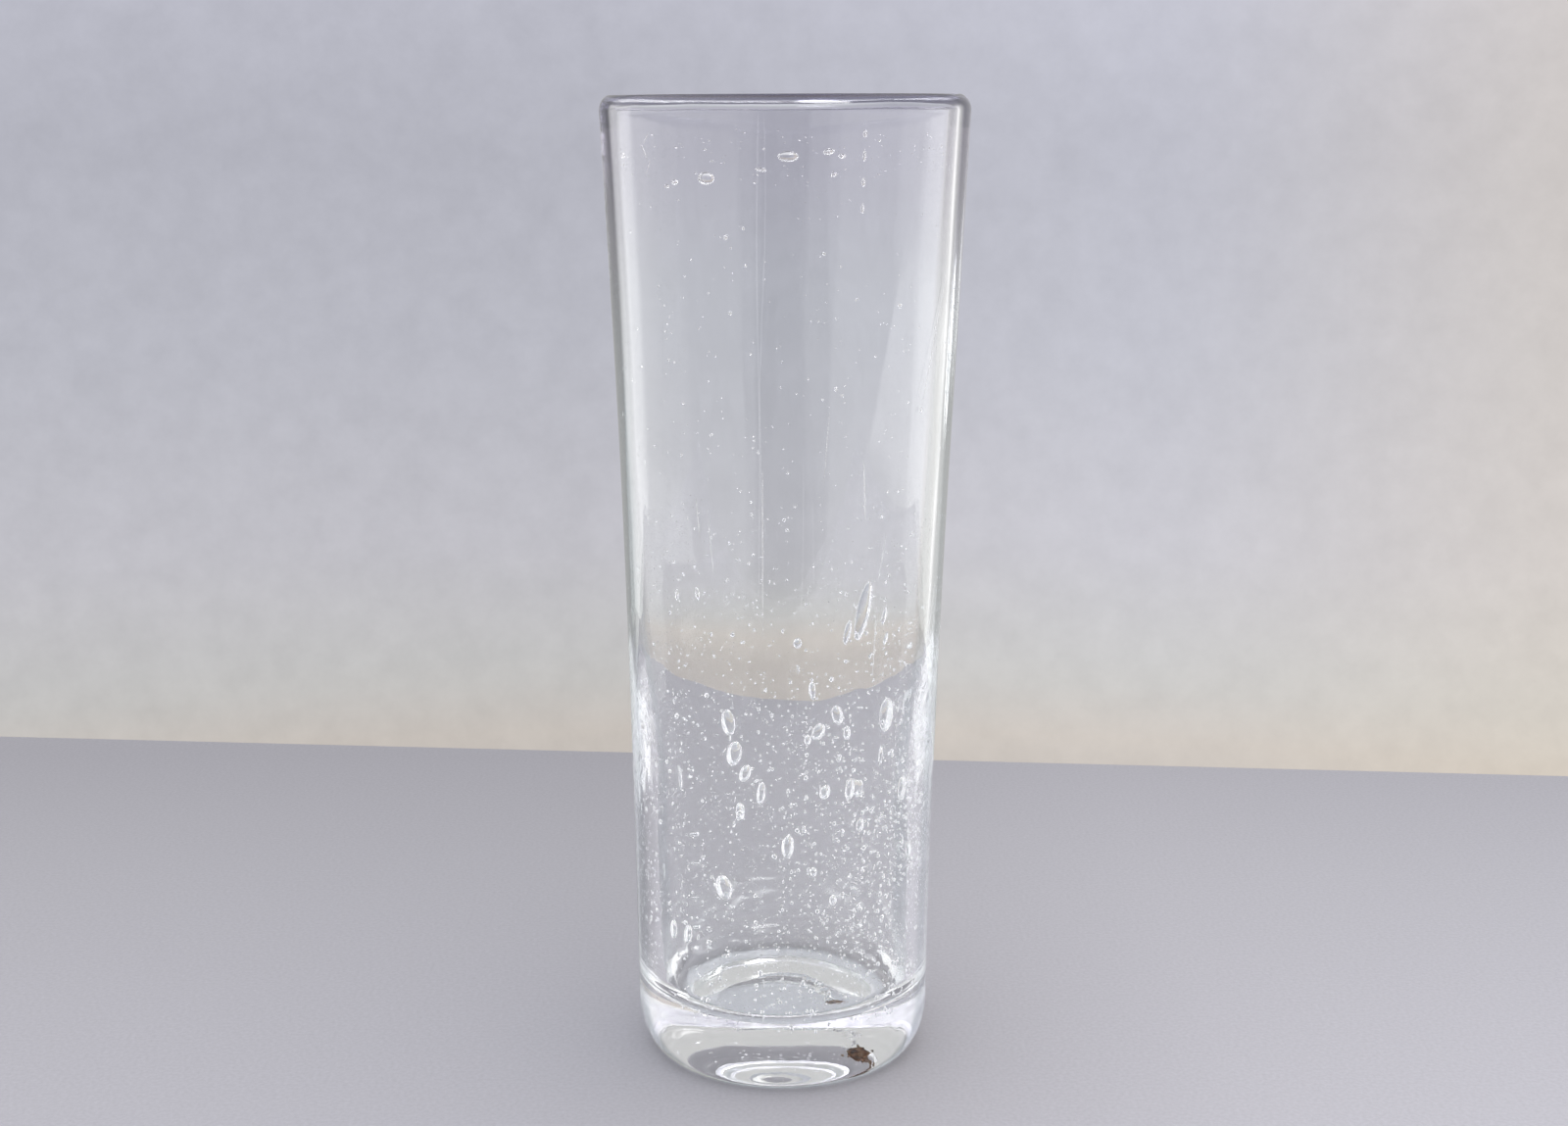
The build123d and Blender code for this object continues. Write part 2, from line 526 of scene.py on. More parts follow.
# %% [markdown]
# The seeds are most crowded low down and on one side, where the second gather folded over the first,
# and they drift upwards in loose trails. A chance function says how likely a seed is at each
# place, and random places are kept or dropped by it.

# %% Where the seeds are
SEED_COUNT = 4600
SPECK, SMALL = 0.20 * MM, 0.36 * MM
SMALLEST, USUAL_GROWTH, LARGEST = 0.19, 0.11, 0.70
LIP_BAND = 232 * MM


def seed_chance(bearing, z):
    """How likely a seed is to be at this place, 0 to 1."""
    turn = math.radians(bearing)
    low = (1.0 - ease(z, 48 * MM, 170 * MM)) ** 1.4 * (0.7 + 0.3 * ease(z, 18 * MM, 45 * MM))
    swirl = math.cos(turn - math.radians(48 + 300 * (z - 0.05))) * 0.5 + 0.5
    patch = noise.noise(Vector((math.sin(turn) * 2.4, math.cos(turn) * 2.4, z * 36.0))) * 1.3 + 0.75
    crowd = (0.22 + 0.78 * swirl ** 6) * min(max(patch, 0.25), 1.0)
    near_lip = 0.10 * ease(z, LIP_BAND - 6 * MM, LIP_BAND)
    return 0.036 + near_lip + low * crowd


def place_seed(bearing, z, size):
    """One seed of that radius, somewhere in the middle of the wall's thickness."""
    turned_in = z > LIP_BAND - 14 * MM
    stretch = random.uniform(0.4, 0.75) if turned_in else random.uniform(0.95, 1.30)
    depth = min(max(random.gauss(0.5, 0.13), 0.28), 0.72)
    shell = speck if size < SPECK else tiny_seed if size < SMALL else small_seed
    lean = random.gauss(0.0, 0.22)
    add_hollow(voids, shell, in_wall(bearing, z, depth), size, size * 0.9, size * stretch, lean)


made = 0
while made < SEED_COUNT:
    bearing = random.uniform(-180.0, 180.0)
    z = random.uniform(17 * MM, 241 * MM)
    if random.random() > seed_chance(bearing, z):
        continue
    size = min(SMALLEST + random.expovariate(1 / USUAL_GROWTH), LARGEST) * MM
    size *= 1.0 - 0.22 * ease(z, 105 * MM, 150 * MM)
    place_seed(bearing, z, size)
    made += 1
print("seeds:", made)

# %% [markdown]
# Fizz is the finest air of all. It gathers in short trails behind the larger bubbles and looks
# like a white haze, so each trail is a burst of tiny seeds along one leaning line.

# %% Fizz
FIZZ_COUNT = 2600
FIZZ_SIZES = 0.09 * MM, 0.19 * MM

made = 0
while made < FIZZ_COUNT:
    bearing = random.uniform(-180.0, 180.0)
    z = random.triangular(18 * MM, 150 * MM, 55 * MM)
    if random.random() > seed_chance(bearing, z) * 1.4:
        continue
    lean = random.gauss(0.0, 0.5)
    trail = random.uniform(2 * MM, 9 * MM)
    for step in range(random.randint(6, 16)):
        along = random.gauss(0.0, 0.5) * trail
        aside = random.gauss(0.0, 0.12) * trail + along * math.sin(lean)
        at = min(max(z + along * math.cos(lean), 17.5 * MM), 238 * MM)
        place_seed(bearing + math.degrees(aside / outer_radius(z)), at, random.uniform(*FIZZ_SIZES))
        made += 1
print("fizz:", made)

# %% [markdown]
# ## Blisters
# A few larger bubbles are flattened in the wall like lentils. They are listed one by one, each with its
# bearing, height, half width, half length and lean. Near the lip they lie on their sides.

# %% Blisters
BLISTERS = [
    # bearing, height, half width, half length, lean, all in degrees and millimetres
    (29, 127, 1.9, 7.5, 12),
    (23, 122, 0.95, 3.2, 12),
    (38, 125, 0.7, 2.4, 14),
    (39, 119, 0.6, 1.7, 18),
    (41, 99, 2.2, 4.4, 4),
    (20, 101, 1.5, 2.6, -14),
    (24, 96, 1.0, 1.9, 0),
    (13, 97, 1.6, 2.3, 24),
    (9, 95, 0.9, 1.4, 0),
    (5, 120, 1.1, 1.3, 0),
    (-31, 131, 0.6, 1.7, -8),
    (-40, 130, 0.6, 1.5, 6),
    (-20, 99, 1.8, 3.4, -8),
    (-18, 91, 1.9, 3.3, 12),
    (-14, 86, 1.4, 2.4, 20),
    (-8, 81, 1.1, 3.0, 6),
    (16, 81, 1.4, 2.0, 14),
    (26, 81, 1.3, 2.9, 8),
    (2, 67, 1.6, 3.1, 4),
    (-23, 55, 2.2, 3.4, -12),
    (-48, 40, 1.2, 2.6, 0),
    (-40, 40, 1.3, 2.8, 8),
    (12, 60, 0.9, 1.3, 0),
    (20, 52, 1.0, 1.5, 0),
    (31, 71, 1.1, 1.9, 10),
    (52, 78, 1.5, 3.2, 10),
    (58, 60, 1.3, 2.6, -6),
    (96, 90, 1.7, 4.0, 10),
    (118, 70, 1.5, 2.8, 0),
    (140, 58, 1.2, 2.4, -12),
    (168, 84, 1.4, 3.2, 8),
    (-160, 50, 1.3, 2.2, 0),
    (-120, 64, 1.5, 3.4, 14),
    (-92, 46, 1.4, 2.3, 0),
    (-24, 231, 2.1, 1.5, 0),
    (1, 236, 2.4, 1.25, 0),
    (13, 237, 1.4, 0.7, -10),
    (17, 236, 0.9, 0.6, 0),
    (-7, 233, 1.3, 0.5, 6),
    (-35, 230, 0.9, 0.7, 0),
    (-38, 229, 0.7, 0.5, 0),
    (24, 241, 0.5, 0.9, 0),
    (24, 236, 0.45, 1.3, 0),
    (24, 230, 0.5, 1.1, 0),
    (24, 224, 0.4, 1.2, 0),
    (95, 232, 1.6, 0.8, 0),
    (-110, 235, 1.8, 0.8, 0),
    (160, 229, 1.3, 0.7, 8),
]
FLATNESS = 0.30
for bearing, z, across, upright, lean in BLISTERS:
    place = in_wall(bearing, z * MM, 0.5)
    through = min(FLATNESS * thickness(z * MM), across * MM)
    add_hollow(voids, blister, place, across * MM, through, upright * MM, math.radians(lean))
print("blisters:", len(BLISTERS))

# %% [markdown]
# ## Needles
# Where a bubble was dragged a long way it became a thread of air. Most stand nearly upright, and
# one short run near the lip zigzags.

# %% Needles
NEEDLES = [
    # bearing, height, half width, half length, lean, all in degrees and millimetres
    (58, 193, 0.16, 17.0, 16),
    (52, 175, 0.55, 0.7, 0),
    (-7, 142, 0.09, 21.0, 0),
    (28, 157, 0.13, 7.5, -3),
    (34, 117, 0.14, 7.0, 2),
    (36, 140, 0.10, 6.0, 10),
    (14, 168, 0.07, 9.0, 4),
    (-30, 150, 0.10, 5.0, -6),
    (-46, 240, 0.14, 1.6, 35),
    (-47, 236.8, 0.15, 2.2, -32),
    (-45.5, 233.4, 0.16, 1.8, 25),
    (70, 120, 0.12, 9.0, 12),
    (110, 150, 0.12, 12.0, -8),
    (-150, 130, 0.12, 9.0, 5),
    (-78, 110, 0.12, 8.0, -5),
]
for bearing, z, across, upright, lean in NEEDLES:
    place = in_wall(bearing, z * MM, 0.5)
    add_hollow(voids, blister, place, across * MM, across * MM, upright * MM, math.radians(lean))
print("needles:", len(NEEDLES))

# %% [markdown]
# ## Seeds in the floor
# A sprinkle of seeds lies in the skin of glass over the floor. The square root spreads them
# evenly over the disc, because a ring's area grows with its radius.

# %% Seeds in the floor
FLOOR_SEEDS = 90
DEPTH_OF_SEEDS = 1.3 * MM

for number in range(FLOOR_SEEDS):
    radius = corner_radius * math.sqrt(random.random())
    turn = random.uniform(0.0, math.tau)
    spot = Vector((radius * math.sin(turn), radius * math.cos(turn), SEAM_LOW + DEPTH_OF_SEEDS))
    size = random.uniform(0.16, 0.38) * MM
    add_hollow(voids, tiny_seed, Matrix.Translation(spot), size, size, size * 0.8)

voids_mesh = bpy.data.meshes.new("voids")
voids.to_mesh(voids_mesh)
voids.free()
wall_shape.from_mesh(voids_mesh)
finish_piece("seeded_wall", wall_shape, [wall_glass, seam], "seeded_glass",
             "inner_gather", "outer_gather")

# %% [markdown]
# ## The foot
# The last gather is only over the bottom. It is thick and clear, with a rounded heel, a narrow
# flat ring to stand on, and a hollow pushed up in the middle so the punty's mark clears the table.

# %% The foot's shape
KICK_RINGS = 52
KICK_ROUNDNESS = 2.8


def kick(radius):
    """Height of the hollow's surface above the table."""
    t = min(radius / KICK_RADIUS, 1.0)
    return KICK_HEIGHT * (1.0 - t ** KICK_ROUNDNESS)


foot_profile = [(0.0, SEAM_LOW)]
foot_profile += seam_line()
foot_profile += arc((REST_RADIUS, SEAM_LOW), HEEL_WIDTH, SEAM_LOW, 0, -90, 22)
foot_profile += [((KICK_RADIUS + REST_RADIUS) / 2, 0.0)]
kick_radii = [KICK_RADIUS * i / KICK_RINGS for i in range(KICK_RINGS, -1, -1)]
foot_profile += [(radius, kick(radius)) for radius in kick_radii]
foot_shape = turned(foot_profile, closed=False)
mark_seams(foot_shape, SEAM_LOW)

# %% [markdown]
# ## The punty's mark
# The vase was held on an iron rod by a bit of hot glass. Breaking it off left a rough crescent,
# fused to the hollow. The crescent's top is a copy of the foot's own faces there, made seams on
# both sides, and its underside is pushed down by a lumpy depth that dies out at the border.
# Faces that have only border corners would stay flat, so they are left out of it.

# %% The mark's depth
SCAR_RADIUS = 12.6 * MM
SCAR_START, SCAR_SWEEP = -25.0, 150.0
SCAR_WIDTH = 1.9 * MM
SCAR_DEPTH = 1.3 * MM
SCAR_THINNEST = 0.05 * MM


def scar_depth(point):
    """How far the broken glass stands down at a point of the hollow."""
    along = (math.degrees(math.atan2(point.y, point.x)) - SCAR_START) / SCAR_SWEEP
    if not 0.0 < along < 1.0:
        return 0.0
    middle = SCAR_RADIUS + 0.8 * MM * noise.noise(Vector((along * 6.0, 1.0, 0.0)))
    width = SCAR_WIDTH * math.sin(math.pi * along) ** 0.4
    width *= 0.8 + 0.6 * noise.noise(Vector((along * 17.0, 5.0, 0.0)))
    across = (math.hypot(point.x, point.y) - middle) / width
    if abs(across) >= 1.0:
        return 0.0
    lumps = 0.75 + 0.7 * noise.noise(point * 900.0)
    return SCAR_DEPTH * math.sqrt(1.0 - across * across) * lumps


# %% The mark's outline
marked = set()
for face in foot_shape.faces:
    middle = face.calc_center_median()
    if middle.z < KICK_HEIGHT and middle.xy.length < KICK_RADIUS and scar_depth(middle) > 0.0:
        marked.add(face)


def at_border(vert):
    return any(face not in marked for face in vert.link_faces)


def too_thin(face):
    """True if the face, or an edge inside the mark, has only corners on the border."""
    inside = [edge for edge in face.edges if all(side in marked for side in edge.link_faces)]
    flat_edge = any(all(at_border(vert) for vert in edge.verts) for edge in inside)
    return flat_edge or all(at_border(vert) for vert in face.verts)


thin = [face for face in marked if too_thin(face)]
while thin:
    marked.difference_update(thin)
    thin = [face for face in marked if too_thin(face)]
for face in marked:
    face.material_index = SEAM
print("mark:", len(marked), "faces")

# %% The mark's shape
scar_shape = foot_shape.copy()
chosen = [f for f in scar_shape.faces if f.material_index == SEAM and f.verts[0].co.z < SEAM_LOW / 2]
rest = list(set(scar_shape.faces) - set(chosen))
bmesh.ops.delete(scar_shape, geom=rest, context="FACES")
border_spots = {tuple(vert.co) for vert in scar_shape.verts if vert.is_boundary}
under = bmesh.ops.extrude_face_region(scar_shape, geom=scar_shape.faces[:], use_keep_orig=True)
for part in under["geom"]:
    if isinstance(part, bmesh.types.BMFace):
        part.material_index = GLASS
    if isinstance(part, bmesh.types.BMVert) and tuple(part.co) not in border_spots:
        part.co.z -= max(scar_depth(part.co), SCAR_THINNEST)
bmesh.ops.remove_doubles(scar_shape, verts=scar_shape.verts, dist=0.0001 * MM)
bmesh.ops.recalc_face_normals(scar_shape, faces=scar_shape.faces)
for shape in (foot_shape, scar_shape):
    sharpen_borders(shape)
    shape_by_hand(shape)
finish_piece("heavy_foot", foot_shape, [foot_glass, seam], "foot_glass", "base_gather")
finish_piece("punty_mark", scar_shape, [scar_glass, seam], "scar_glass", "pontil_scar")

# %% [markdown]
# ## Iron scale
# A flake of burnt iron and ash came off the rod and stayed, half sunk in the hollow, with crumbs
# round it. Each grain is a flattened ball whose surface is pushed about by two sizes of noise.

# %% Iron scale
fleck_low, fleck_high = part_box("iron_fleck")
fleck_middle = (fleck_low + fleck_high) / 2
fleck_half = (fleck_high - fleck_low) / 2
CRUMBS = 9


def crumb(into, middle, half, fineness):
    """A lumpy flattened grain."""
    grain = bmesh.new()
    bmesh.ops.create_icosphere(grain, subdivisions=fineness, radius=1.0)
    for vert in grain.verts:
        big = noise.noise(vert.co * 1.4 + middle * 900.0)
        small = noise.noise(vert.co * 5.0 + middle * 900.0)
        vert.co *= 0.86 + 0.32 * big + 0.13 * small
        vert.co = middle + Vector((vert.co.x * half.x, vert.co.y * half.y, vert.co.z * half.z))
    mesh = bpy.data.meshes.new("grain")
    grain.to_mesh(mesh)
    grain.free()
    into.from_mesh(mesh)
    bpy.data.meshes.remove(mesh)


fleck_shape = bmesh.new()
crumb(fleck_shape, fleck_middle, fleck_half * 0.95, 5)
for number in range(CRUMBS):
    turn = random.uniform(0.0, math.tau)
    away = random.uniform(1.1, 1.5)
    spot = fleck_middle + Vector((math.cos(turn) * fleck_half.x, math.sin(turn) * fleck_half.y, 0.0)) * away
    size = random.uniform(0.2, 0.55) * MM
    spot.z = kick(spot.xy.length)
    crumb(fleck_shape, spot, Vector((size, size * 0.8, size * 0.5)), 3)
finish_piece("iron_scale", fleck_shape, [scale_finish], "iron_scale", "iron_fleck")

# %% [markdown]
# ## The lip
# The blower opened the mouth in the flame, turned its edge in and let the heat round it. In
# section it is the wall's own thickness bent along an arc, with a round end, so the profile is two
# concentric arcs and a half circle between them. It starts on the wall's own line, and the same
# hand moves it, so no step shows.

# %% The lip's shape
LIP_OUTER = 4.0 * MM
LIP_TURN = 65.0
lip_middle = LIP_OUTER - WALL / 2
lip_centre_z = HEIGHT - lip_middle * math.sin(math.radians(LIP_TURN)) - WALL / 2
lip_centre = (outer_radius(lip_centre_z) - LIP_OUTER, lip_centre_z)
lip_end = arc(lip_centre, lip_middle, lip_middle, LIP_TURN, LIP_TURN, 1)[0]
lip_profile = wall_line(False, SEAM_HIGH, lip_centre_z, 4)
lip_profile += arc(lip_centre, LIP_OUTER, LIP_OUTER, 0, LIP_TURN, 10)[1:]
lip_profile += arc(lip_end, WALL / 2, WALL / 2, LIP_TURN, LIP_TURN + 180, 14)[1:]
lip_inner = LIP_OUTER - WALL
lip_profile += arc(lip_centre, lip_inner, lip_inner, LIP_TURN, 0, 6)[1:]
lip_profile += wall_line(True, lip_centre_z, SEAM_HIGH, 4)[1:]
lip_shape = turned(lip_profile, closed=True)
mark_seams(lip_shape, SEAM_HIGH)
sharpen_borders(lip_shape)
shape_by_hand(lip_shape)
finish_piece("turned_lip", lip_shape, [lip_glass, seam], "rim_glass", "rim_bead")

# %% [markdown]
# ## Floor
# A plain pale sheet that ends behind the vase, cut a little askew. Glass never quite touches
# paper, so it lies a hair below the foot, and the foot keeps its mirror-like underside.

# %% Floor
TABLE_FRONT, TABLE_BACK = -0.45, 0.247
TABLE_WIDTH = 1.3
TABLE_ASKEW = math.radians(-4.1)
AIR_GAP = 0.05 * MM

floor_shape = bmesh.new()
bmesh.ops.create_grid(floor_shape, x_segments=1, y_segments=1, size=0.5)
floor_size = Matrix.Diagonal((TABLE_WIDTH, TABLE_BACK - TABLE_FRONT, 1.0, 1.0))
floor_place = Matrix.Translation((0.0, (TABLE_FRONT + TABLE_BACK) / 2, -AIR_GAP))
floor_shape.transform(Matrix.Rotation(TABLE_ASKEW, 4, "Z") @ floor_place @ floor_size)
floor_mesh = bpy.data.meshes.new("floor")
floor_shape.to_mesh(floor_mesh)
floor_shape.free()
floor = bpy.data.objects.new("floor", floor_mesh)
bpy.context.collection.objects.link(floor)

# %% [markdown]
# Paper is matt and even, and only light makes it vary. Here that light and shade are painted into the
# paper's colour: it is lighter at the front and falls off towards the back, and a little towards the left,
# as it would under a lamp at the front right. A fine noise gives it fibres.

# %% Floor paper
# Painted light and shade: the near, middle and far colours and the left and right levels stand in for a
# lamp's falloff, not the paper's own colour.
PAPER_PAINTED_LIT_NEAR = (0.71, 0.695, 0.765, 1.0)
PAPER_PAINTED_HALF_SHADE = (0.59, 0.58, 0.635, 1.0)
PAPER_PAINTED_SHADE_FAR = (0.50, 0.49, 0.54, 1.0)
NEAR_END, MIDDLE_SHARE = -0.1, 0.62
LEFT_END, RIGHT_END = -0.05, 0.12
LEFT_PAINTED_SHADE, RIGHT_PAINTED_LIGHT = 0.92, 1.05
FIBRE_SCALE = 900.0
FIBRE_DARK, FIBRE_PALE = 0.88, 1.12

paper, paper_nodes, paper_links = new_material("floor paper")
paper_shader = paper_nodes["Principled BSDF"]
paper_shader.inputs["Roughness"].default_value = 0.9
paper_shader.inputs["Specular IOR Level"].default_value = 0.1
place = paper_nodes.new("ShaderNodeTexCoord")
split = paper_nodes.new("ShaderNodeSeparateXYZ")
paper_links.new(place.outputs["Object"], split.inputs[0])
ramp = paper_nodes.new("ShaderNodeValToRGB")
ramp.color_ramp.elements[0].color = PAPER_PAINTED_LIT_NEAR
ramp.color_ramp.elements[1].color = PAPER_PAINTED_SHADE_FAR
ramp.color_ramp.elements.new(MIDDLE_SHARE).color = PAPER_PAINTED_HALF_SHADE
# Painted falloff towards the back and painted shade towards the left.
painted_falloff = map_range(paper_nodes, paper_links, split.outputs["Y"], NEAR_END, TABLE_BACK)
paper_links.new(painted_falloff, ramp.inputs["Fac"])
painted_side_light = map_range(paper_nodes, paper_links, split.outputs["X"],
                     LEFT_END, RIGHT_END, LEFT_PAINTED_SHADE, RIGHT_PAINTED_LIGHT)
fibres = paper_nodes.new("ShaderNodeTexNoise")
fibres.inputs["Scale"].default_value = FIBRE_SCALE
fibres.inputs["Detail"].default_value = 3.0
paper_links.new(place.outputs["Object"], fibres.inputs["Vector"])
grain = map_range(paper_nodes, paper_links, fibres.outputs["Fac"], 0.0, 1.0, FIBRE_DARK, FIBRE_PALE)
level = paper_nodes.new("ShaderNodeMath")
level.operation = "MULTIPLY"
paper_links.new(painted_side_light, level.inputs[0])
paper_links.new(grain, level.inputs[1])
toned = paper_nodes.new("ShaderNodeVectorMath")
toned.operation = "SCALE"
paper_links.new(ramp.outputs["Color"], toned.inputs[0])
paper_links.new(level.outputs[0], toned.inputs["Scale"])
paper_links.new(toned.outputs["Vector"], paper_shader.inputs["Base Color"])
floor_mesh.materials.append(paper)

# %% [markdown]
# A thick foot gathers light and drops it on the paper under it. Tracing that focused light takes
# very long, so the paper glows faintly inside the resting ring instead.

# %% Light gathered under the foot
UNDER_GLOW = 0.36
GLOW_COLOUR = (0.88, 0.92, 1.0, 1.0)
GLOW_ENDS, GLOW_FULL = REST_RADIUS + 2.5 * MM, REST_RADIUS - 1.5 * MM

away = paper_nodes.new("ShaderNodeVectorMath")
away.operation = "LENGTH"
paper_links.new(place.outputs["Object"], away.inputs[0])
glow = map_range(paper_nodes, paper_links, away.outputs["Value"],
                 GLOW_ENDS, GLOW_FULL, to_high=UNDER_GLOW, smooth=True)
paper_shader.inputs["Emission Color"].default_value = GLOW_COLOUR
paper_links.new(glow, paper_shader.inputs["Emission Strength"])

# %% [markdown]
# ## Backdrop and light
# The world is both. What is seen straight or through the glass is a sheet of mottled paper. What
# the glass mirrors is the studio round it. Real walls and lamps could do the same, but here each
# can be set without disturbing the other. Directions are read as elevation, the angle above the
# level, and bearing, the angle from the front towards +X.

# %% World helpers
world = bpy.data.worlds.new("studio")
world.use_nodes = True
sky = world.node_tree.nodes
sky_links = world.node_tree.links
bpy.context.scene.world = world


def maths(operation, *values):
    """A Math node. Each value is a number or another node's output."""
    node = sky.new("ShaderNodeMath")
    node.operation = operation
    for socket, value in zip(node.inputs, values):
        if isinstance(value, (int, float)):
            socket.default_value = value
        else:
            sky_links.new(value, socket)
    return node.outputs[0]


def scale_to(value, low, high):
    """A smooth 0 to 1 as value goes from low to high."""
    return map_range(sky, sky_links, value, low, high, smooth=True)


def world_ramp(value, low, high, stops):
    """A ramp of colours over an angle, with its stops and its two ends in degrees."""
    node = sky.new("ShaderNodeValToRGB")
    elements = node.color_ramp.elements
    for number, (at, colour) in enumerate(stops):
        where = (at - low) / (high - low)
        element = elements[number] if number < 2 else elements.new(where)
        element.position = where
        element.color = (*colour, 1.0) if isinstance(colour, tuple) else (colour,) * 3 + (1.0,)
    part = maths("DIVIDE", maths("SUBTRACT", value, math.radians(low)), math.radians(high - low))
    sky_links.new(part, node.inputs["Fac"])
    return node.outputs["Color"]


def world_mix(factor, first, second):
    node = sky.new("ShaderNodeMix")
    node.data_type = "RGBA"
    sky_links.new(factor, node.inputs["Factor"])
    for socket, value in ((node.inputs["A"], first), (node.inputs["B"], second)):
        if isinstance(value, tuple):
            socket.default_value = (*value, 1.0)
        else:
            sky_links.new(value, socket)
    return node.outputs["Result"]


def degrees_in(value, low, high, soft):
    """1 between two angles and 0 outside them, with soft edges."""
    risen = scale_to(value, math.radians(low - soft), math.radians(low + soft))
    gone = scale_to(value, math.radians(high - soft), math.radians(high + soft))
    return maths("SUBTRACT", risen, gone)


direction = sky.new("ShaderNodeTexCoord").outputs["Generated"]
parts = sky.new("ShaderNodeSeparateXYZ")
sky_links.new(direction, parts.inputs[0])
elevation = maths("ARCSINE", parts.outputs["Z"])
bearing = maths("ARCTAN2", parts.outputs["X"], maths("MULTIPLY", parts.outputs["Y"], -1.0))

# %% [markdown]
# The paper is bluish at the vase's height, warmer just above the table and to the right, and pale
# overhead, where it lights the glass from above. A low, soft noise mottles it.

# %% Paper backdrop
PAPER = [
    # elevation in degrees, colour
    (-90, (0.40, 0.39, 0.43)),
    (-19, (0.52, 0.48, 0.45)),
    (-16.9, (0.595, 0.55, 0.51)),
    (-15.2, (0.57, 0.565, 0.56)),
    (-11.7, (0.56, 0.555, 0.60)),
    (-6.3, (0.51, 0.515, 0.575)),
    (-1, (0.48, 0.485, 0.55)),
    (3, (0.52, 0.525, 0.60)),
    (7, (0.52, 0.525, 0.58)),
    (16, (0.88, 0.90, 0.92)),
]
WARM_PAPER = (0.68, 0.60, 0.49)
WARM_STARTS, WARM_FULL, WARM_SHARE = 0.16, 0.40, 0.5
PAPER_LEFT, PAPER_RIGHT = -0.16, 0.20
LEFT_LEVEL, RIGHT_GAIN = 0.84, 0.13
CLOUD_SCALE, CLOUD_DETAIL, CLOUD_ROUGHNESS = 60.0, 6.0, 0.65
CLOUD_GAIN = 0.22

paper_colour = world_ramp(elevation, -90, 90, PAPER)
warm_side = maths("MULTIPLY", scale_to(parts.outputs["X"], WARM_STARTS, WARM_FULL), WARM_SHARE)
paper_colour = world_mix(warm_side, paper_colour, WARM_PAPER)
clouds = sky.new("ShaderNodeTexNoise")
clouds.inputs["Scale"].default_value = CLOUD_SCALE
clouds.inputs["Detail"].default_value = CLOUD_DETAIL
clouds.inputs["Roughness"].default_value = CLOUD_ROUGHNESS
sky_links.new(direction, clouds.inputs["Vector"])
to_right = scale_to(parts.outputs["X"], PAPER_LEFT, PAPER_RIGHT)
side_light = maths("ADD", maths("MULTIPLY", to_right, RIGHT_GAIN), LEFT_LEVEL)
cloud_light = maths("MULTIPLY", clouds.outputs["Fac"], CLOUD_GAIN)
paper_level = sky.new("ShaderNodeVectorMath")
paper_level.operation = "SCALE"
sky_links.new(paper_colour, paper_level.inputs[0])
sky_links.new(maths("ADD", side_light, cloud_light), paper_level.inputs["Scale"])
paper_colour = paper_level.outputs["Vector"]
print("paper stops:", len(PAPER))

# %% [markdown]
# The studio has a window behind on the left, a wider one behind on the right, a dark room in front
# and a pale ceiling. It is kept at half its brightness here, and its Background's strength doubles
# it at the end.

# %% Studio room
STUDIO = [
    # bearing in degrees, brightness over STUDIO_SCALE
    (-180, 0.23), (-143, 0.20), (-138, 0.62), (-128, 0.72), (-112, 0.72), (-108, 0.33),
    (-60, 0.30), (-20, 0.28), (-18, 0.03), (31, 0.03), (33, 0.31), (74, 0.34), (80, 0.52),
    (116, 0.68), (128, 0.74), (140, 0.64), (146, 0.27), (180, 0.23),
]
STUDIO_SCALE = 2.0
CEILING = 0.60
CEILING_LOW, CEILING_HIGH = 7.0, 16.0

room = world_ramp(bearing, -180, 180, STUDIO)
ceiling = scale_to(elevation, math.radians(CEILING_LOW), math.radians(CEILING_HIGH))
room = world_mix(ceiling, room, (CEILING / STUDIO_SCALE,) * 3)
print("room stops:", len(STUDIO))

# %% [markdown]
# Bright panes make the long gleams down the wall: a broad slanted one for the right side, and a
# sliver for the thin line in the middle. A lamp high in front on the right makes the small sharp
# highlights.

# %% Panes and lamp
PANES = [
    # bearing from and to, elevation from and to, lean, soft edge, brightness
    (118, 175, -13.0, -7.2, -4.5, 1.2, 1.6),
    (-16.2, -15.3, -20.0, -6.0, 0.0, 0.3, 1.9),
]
PANE_SOFT_ENDS = 0.8
LAMP = Vector((0.30, -0.52, 0.80)).normalized()
LAMP_GLOW = 12.0
LAMP_INNER, LAMP_OUTER = math.cos(math.radians(9)), math.cos(math.radians(14))

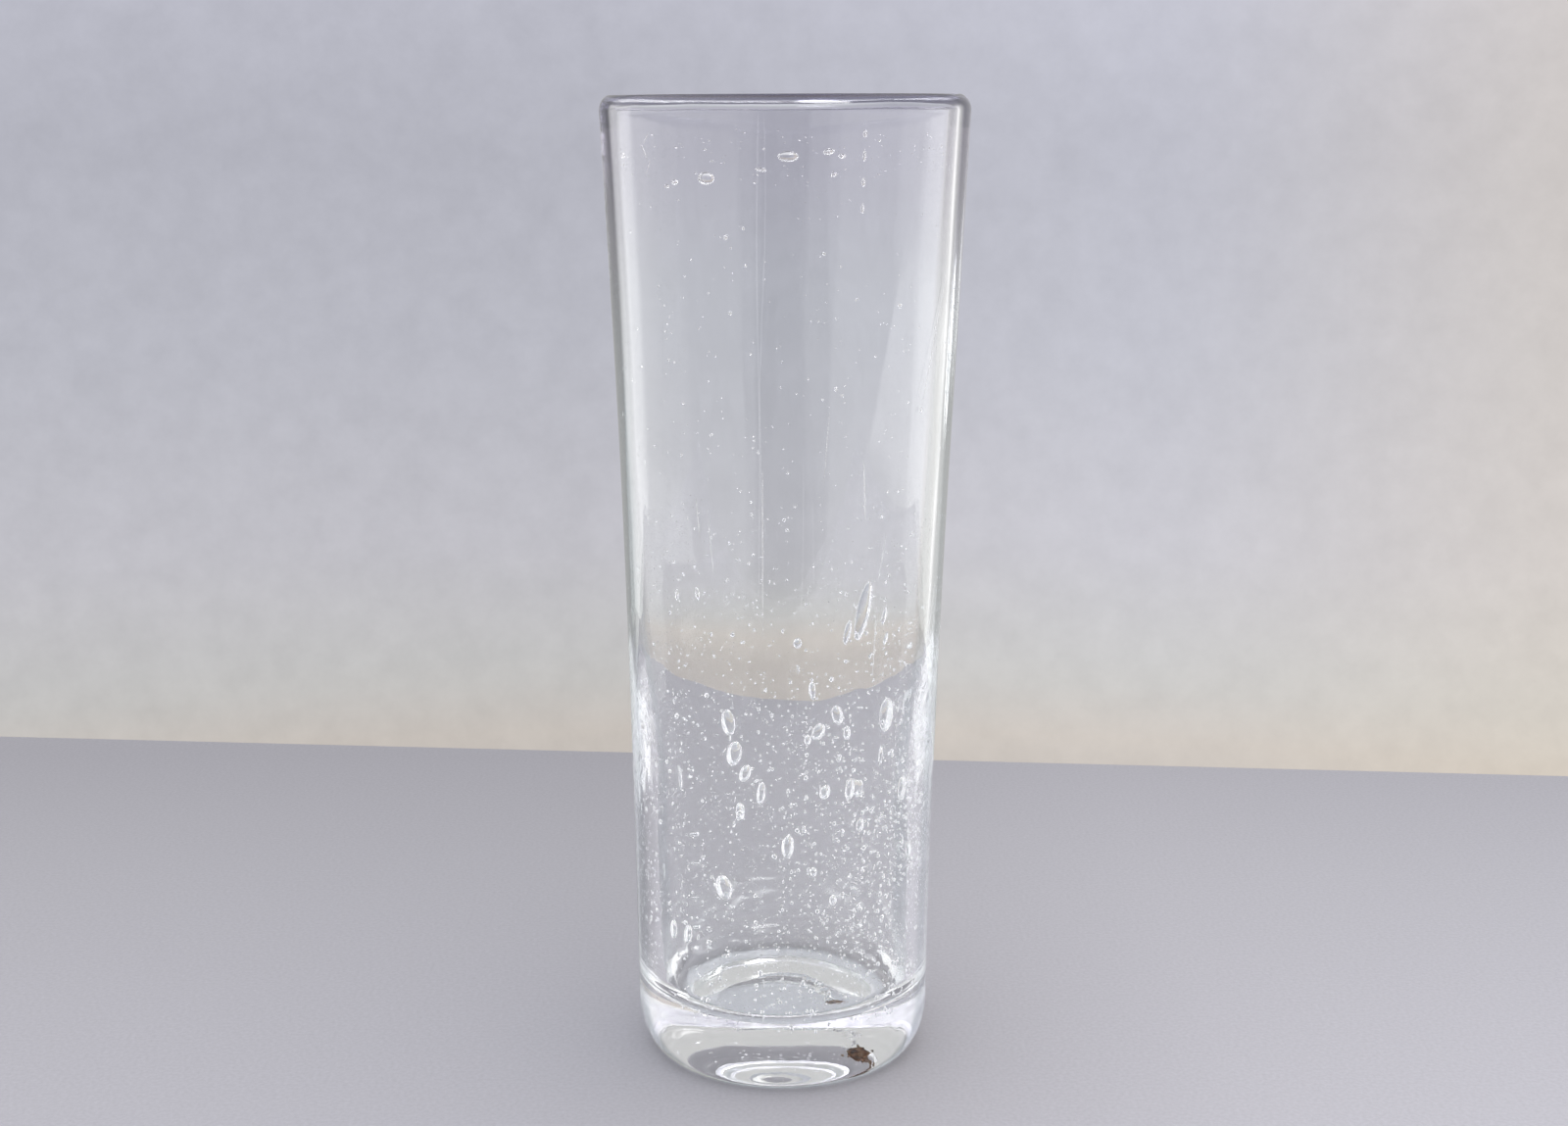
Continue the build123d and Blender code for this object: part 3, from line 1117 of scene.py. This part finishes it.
for low, high, bottom, top, lean, soft, brightness in PANES:
    slant = maths("ADD", bearing, maths("MULTIPLY", elevation, lean))
    upright = degrees_in(elevation, bottom, top, PANE_SOFT_ENDS)
    inside = maths("MULTIPLY", degrees_in(slant, low, high, soft), upright)
    room = world_mix(inside, room, (brightness / STUDIO_SCALE,) * 3)
towards_lamp = sky.new("ShaderNodeVectorMath")
towards_lamp.operation = "DOT_PRODUCT"
towards_lamp.inputs[1].default_value = LAMP
sky_links.new(direction, towards_lamp.inputs[0])
lamp = scale_to(towards_lamp.outputs["Value"], LAMP_OUTER, LAMP_INNER)
room = world_mix(lamp, room, (LAMP_GLOW / STUDIO_SCALE,) * 3)
print("panes:", len(PANES))

# %% [markdown]
# The Light Path node tells the two apart, because only a mirrored ray has a Glossy Depth. Its Ray
# Depth counts every bounce and crossing, so it finds the light that has run a long way inside the
# glass. That light is made a little stronger, because it is what turns the seeds white.

# %% Joining paper and room
GUIDED_FROM, GUIDED_TO, GUIDED_GAIN = 12.0, 20.0, 2.2

paper_light = sky["Background"]
room_light = sky.new("ShaderNodeBackground")
choose = sky.new("ShaderNodeMixShader")
path = sky.new("ShaderNodeLightPath")
mirrored = maths("MINIMUM", path.outputs["Glossy Depth"], 1.0)
guided = scale_to(path.outputs["Ray Depth"], GUIDED_FROM, GUIDED_TO)
gain = maths("ADD", maths("MULTIPLY", guided, GUIDED_GAIN - 1.0), 1.0)
sky_links.new(maths("MULTIPLY", gain, STUDIO_SCALE), room_light.inputs["Strength"])
sky_links.new(paper_colour, paper_light.inputs["Color"])
sky_links.new(room, room_light.inputs["Color"])
sky_links.new(mirrored, choose.inputs["Fac"])
sky_links.new(paper_light.outputs["Background"], choose.inputs[1])
sky_links.new(room_light.outputs["Background"], choose.inputs[2])
sky_links.new(choose.outputs["Shader"], sky["World Output"].inputs["Surface"])

# %% [markdown]
# Light that enters the lip runs down inside the wall like a light guide, mirrored to and fro, and
# comes out where it meets a seed. That is why seeds look white, and it takes many bounces.

# %% Light paths
MOST_BOUNCES = 96
MOST_SEAMS = 64

cycles = bpy.context.scene.cycles
cycles.max_bounces = MOST_BOUNCES
cycles.transmission_bounces = MOST_BOUNCES
cycles.glossy_bounces = MOST_BOUNCES
cycles.transparent_max_bounces = MOST_SEAMS
bpy.context.scene.view_settings.view_transform = "Standard"
